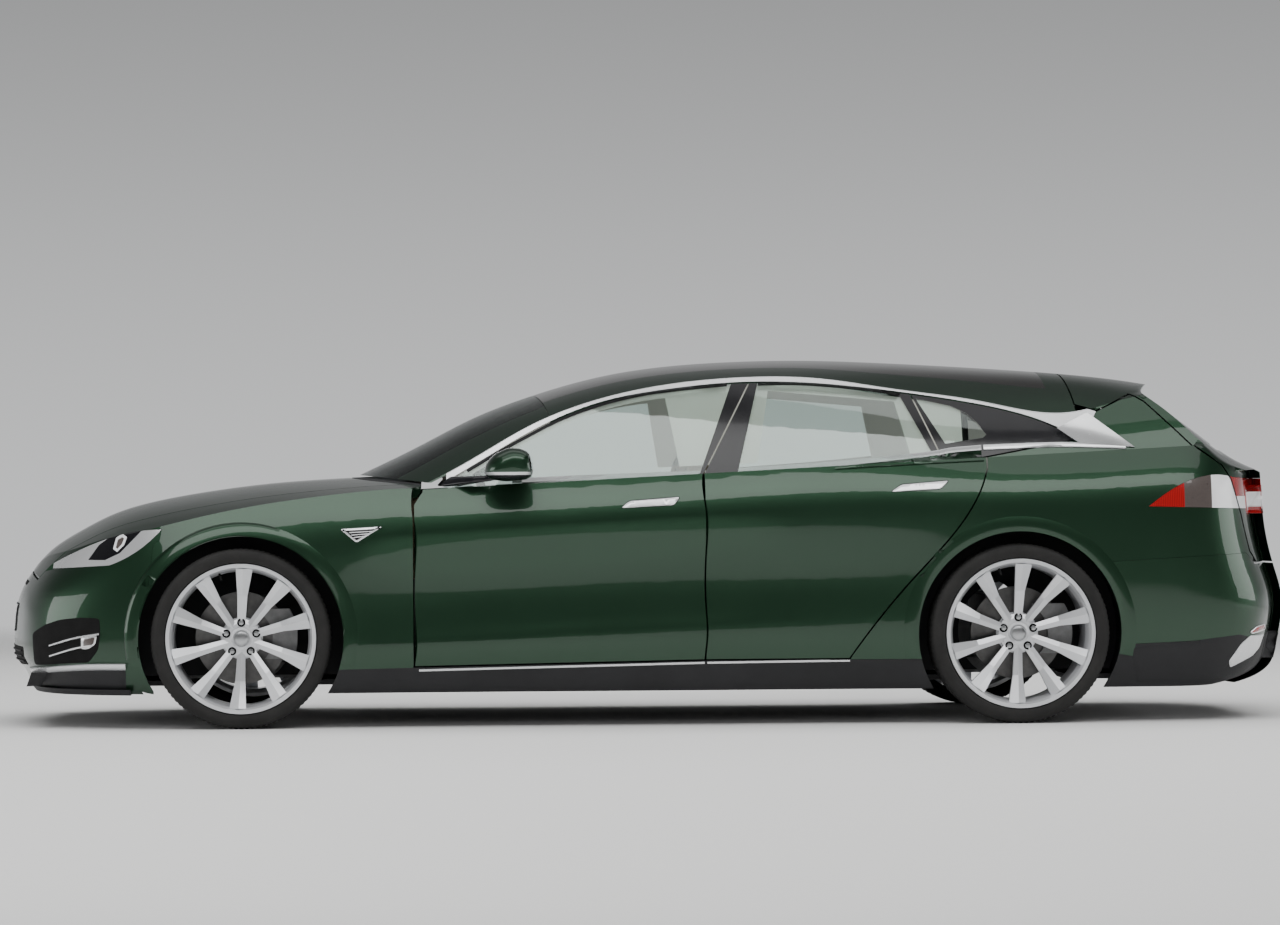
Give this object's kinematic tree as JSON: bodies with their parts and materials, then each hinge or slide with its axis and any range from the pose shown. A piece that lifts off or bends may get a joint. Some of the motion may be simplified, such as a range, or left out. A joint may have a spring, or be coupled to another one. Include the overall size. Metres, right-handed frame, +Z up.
{
  "type": "estate car",
  "caption": "Full-size five-door electric estate car with long roof, frameless doors, turbine-spoke wheels, and doors, lids, wheels and steering that move.",
  "frame": {"origin": "on the floor, under the middle of the bounding box", "axes": "+X rearwards along the car, +Y to the car's right, +Z up"},
  "size_m": [4.952, 2.1884, 1.4049],
  "materials": {
    "paint": "metallic clear-coated paint, dark green",
    "satin_trim": "satin bright trim",
    "glass": "tinted safety glass",
    "lamp": "clear lamp lens",
    "tail_lamp": "red lamp lens",
    "black_plastic": "grained black plastic",
    "tyre": "black tyre rubber",
    "wheel": "bright painted alloy",
    "steel": "raw pressed steel",
    "alloy": "cast alloy",
    "cabin": "soft beige cabin trim",
    "cloth": "beige seat covers"
  },
  "bodies": {
    "body": {"arch_liners": "black_plastic", "body_frame": "steel", "body_sides": "paint", "cowl_panel": "black_plastic", "dashboard": "cabin", "diffuser": "black_plastic", "floor_pan": "steel", "front_axle": "alloy", "front_bumper": "paint", "front_fenders": "paint", "front_seats": "cloth", "headlamps": "lamp", "quarter_windows": "glass", "rear_axle": "alloy", "rear_bumper": "paint", "rear_seat": "cloth", "roof_panel": "paint", "roof_rails": "satin_trim", "sill_covers": "black_plastic", "splitter": "black_plastic", "steering_wheel": "black_plastic", "tail_lamps": "tail_lamp", "windscreen": "glass"},
    "front_left_wheel_body": {"front_left_tyre": "tyre", "front_left_wheel": "wheel"},
    "front_right_wheel_body": {"front_right_tyre": "tyre", "front_right_wheel": "wheel"},
    "rear_left_wheel_body": {"rear_left_tyre": "tyre", "rear_left_wheel": "wheel"},
    "rear_right_wheel_body": {"rear_right_tyre": "tyre", "rear_right_wheel": "wheel"},
    "front_left_upright": {"front_left_knuckle": "alloy"},
    "front_right_upright": {"front_right_knuckle": "alloy"},
    "front_left_door_body": {"front_left_door": "paint", "front_left_glass": "glass", "left_mirror": "paint"},
    "front_right_door_body": {"front_right_door": "paint", "front_right_glass": "glass", "right_mirror": "paint"},
    "rear_left_door_body": {"rear_left_door": "paint", "rear_left_glass": "glass"},
    "rear_right_door_body": {"rear_right_door": "paint", "rear_right_glass": "glass"},
    "bonnet_body": {"bonnet": "paint"},
    "tailgate_body": {"tailgate": "paint", "tailgate_glass": "glass", "tailgate_lamps": "tail_lamp"}
  },
  "joints": [
    {"name": "front_left_steer", "type": "hinge", "parent": "body", "child": "front_left_upright", "pos_m": [-1.561, -0.736, 0.342], "axis": [0, 0, 1], "range_deg": [-35, 35]},
    {"name": "front_right_steer", "type": "hinge", "parent": "body", "child": "front_right_upright", "pos_m": [-1.561, 0.736, 0.342], "axis": [0, 0, 1], "range_deg": [-35, 35]},
    {"name": "front_left_spin", "type": "hinge", "parent": "front_left_upright", "child": "front_left_wheel_body", "pos_m": [-1.561, -0.831, 0.342], "axis": [0, 1, 0], "continuous": true},
    {"name": "front_right_spin", "type": "hinge", "parent": "front_right_upright", "child": "front_right_wheel_body", "pos_m": [-1.561, 0.831, 0.342], "axis": [0, 1, 0], "continuous": true},
    {"name": "rear_left_spin", "type": "hinge", "parent": "body", "child": "rear_left_wheel_body", "pos_m": [1.399, -0.85, 0.342], "axis": [0, 1, 0], "continuous": true},
    {"name": "rear_right_spin", "type": "hinge", "parent": "body", "child": "rear_right_wheel_body", "pos_m": [1.399, 0.85, 0.342], "axis": [0, 1, 0], "continuous": true},
    {"name": "front_left_door_hinge", "type": "hinge", "parent": "body", "child": "front_left_door_body", "pos_m": [-0.841, -0.907, 0.55], "axis": [0, 0, -1], "range_deg": [0, 66]},
    {"name": "rear_left_door_hinge", "type": "hinge", "parent": "body", "child": "rear_left_door_body", "pos_m": [0.265, -0.911, 0.6], "axis": [0, 0, -1], "range_deg": [0, 66]},
    {"name": "front_right_door_hinge", "type": "hinge", "parent": "body", "child": "front_right_door_body", "pos_m": [-0.841, 0.907, 0.55], "axis": [0, 0, 1], "range_deg": [0, 66]},
    {"name": "rear_right_door_hinge", "type": "hinge", "parent": "body", "child": "rear_right_door_body", "pos_m": [0.265, 0.911, 0.6], "axis": [0, 0, 1], "range_deg": [0, 66]},
    {"name": "bonnet_hinge", "type": "hinge", "parent": "body", "child": "bonnet_body", "pos_m": [-0.88, 0, 0.912], "axis": [0, 1, 0], "range_deg": [0, 50]},
    {"name": "tailgate_hinge", "type": "hinge", "parent": "body", "child": "tailgate_body", "pos_m": [1.65, 0, 1.354], "axis": [0, -1, 0], "range_deg": [0, 72]}
  ],
  "couplings": [
    {"joint": "front_right_steer", "follows": "front_left_steer", "ratio": 1}
  ]
}
